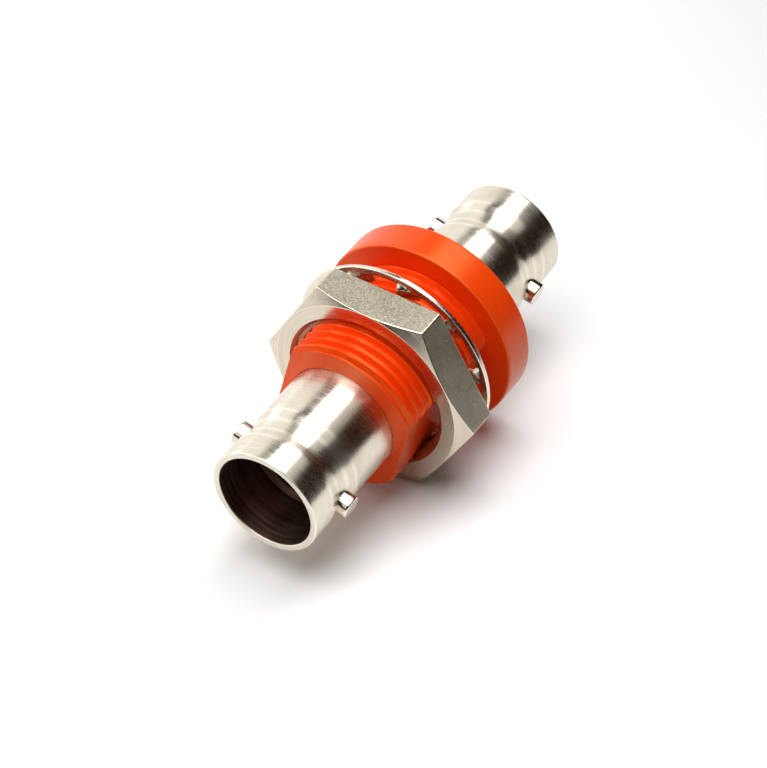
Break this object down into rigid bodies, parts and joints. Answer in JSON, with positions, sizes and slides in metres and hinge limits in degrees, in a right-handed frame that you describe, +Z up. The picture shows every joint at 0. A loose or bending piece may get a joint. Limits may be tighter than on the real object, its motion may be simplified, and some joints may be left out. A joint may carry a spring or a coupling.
{
  "type": "insulated bnc bulkhead adapter",
  "caption": "Insulated bulkhead adapter: bayonet coaxial jacks back to back in a flanged, threaded plastic bushing, with a hex panel nut and an internal-tooth lock washer.",
  "frame": {"origin": "on the axis, halfway between the two rims", "axes": "+Y along the axis from the near mouth to the far mouth, +Z up, with two flats of the nut facing up and down, +X to the right seen from the near mouth"},
  "size_m": [0.0196, 0.037, 0.0181],
  "materials": {
    "shell_nickel": "bright nickel plate over turned brass",
    "lug_nickel": "bright nickel plate over turned brass",
    "dielectric": "moulded red-brown phenolic",
    "contact_gold": "thin gold plate",
    "bushing_plastic": "semi-gloss moulded orange",
    "nut_nickel": "nickel plate, bright faced front and satin flats",
    "washer_nickel": "nickel-plated stamped spring steel"
  },
  "bodies": {
    "adapter": {"near_shell": "shell_nickel", "far_shell": "shell_nickel", "near_right_lug": "lug_nickel", "near_left_lug": "lug_nickel", "far_right_lug": "lug_nickel", "far_left_lug": "lug_nickel", "near_insulator": "dielectric", "far_insulator": "dielectric", "centre_contact": "contact_gold", "bushing": "bushing_plastic"},
    "lock_washer": {"lock_washer": "washer_nickel"},
    "hex_nut": {"hex_nut": "nut_nickel"}
  },
  "joints": [
    {"name": "washer_travel", "type": "slide", "parent": "adapter", "child": "lock_washer", "axis": [0, 1, 0], "range_m": [-0.0067, 0.0027]},
    {"name": "nut_turn", "type": "hinge", "parent": "lock_washer", "child": "hex_nut", "pos_m": [0, -0.00258, 0], "axis": [0, 1, 0], "range_deg": [-2680, 1080]}
  ],
  "couplings": [
    {"joint": "washer_travel", "follows": "nut_turn", "m_per_rad": 0.00014324}
  ]
}
